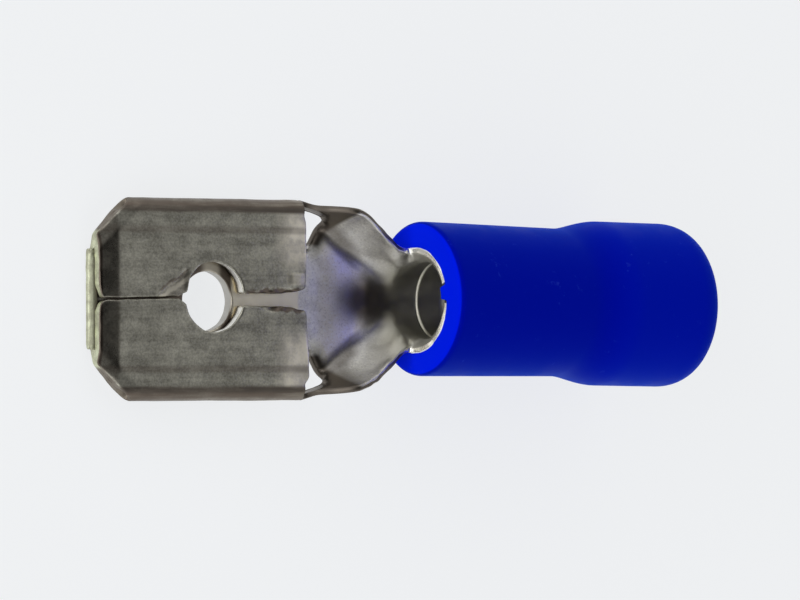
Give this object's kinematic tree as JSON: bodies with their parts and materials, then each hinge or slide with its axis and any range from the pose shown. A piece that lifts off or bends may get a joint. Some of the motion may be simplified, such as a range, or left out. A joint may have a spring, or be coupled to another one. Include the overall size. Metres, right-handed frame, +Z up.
{
  "type": "insulated male spade terminal",
  "caption": "Flat folded metal tab with a detent hole, a winged neck and a rolled crimp barrel in a stepped blue plastic sleeve, for a push-on wire connection.",
  "frame": {"origin": "on the axis of the barrel and sleeve, in the back face of the sleeve where the wire enters", "axes": "+X out of the wire end along the barrel axis, the tab points to -X, +Z up from the tab's underside to its seamed face"},
  "size_m": [0.0221, 0.0064, 0.0052],
  "materials": {
    "tinned_sheet": "tin plated over brass, satin, bare brass on the sheared front edge",
    "blue_sleeve": "moulded soft PVC, satin"
  },
  "bodies": {
    "root": {"terminal": "tinned_sheet", "sleeve": "blue_sleeve"}
  },
  "joints": []
}
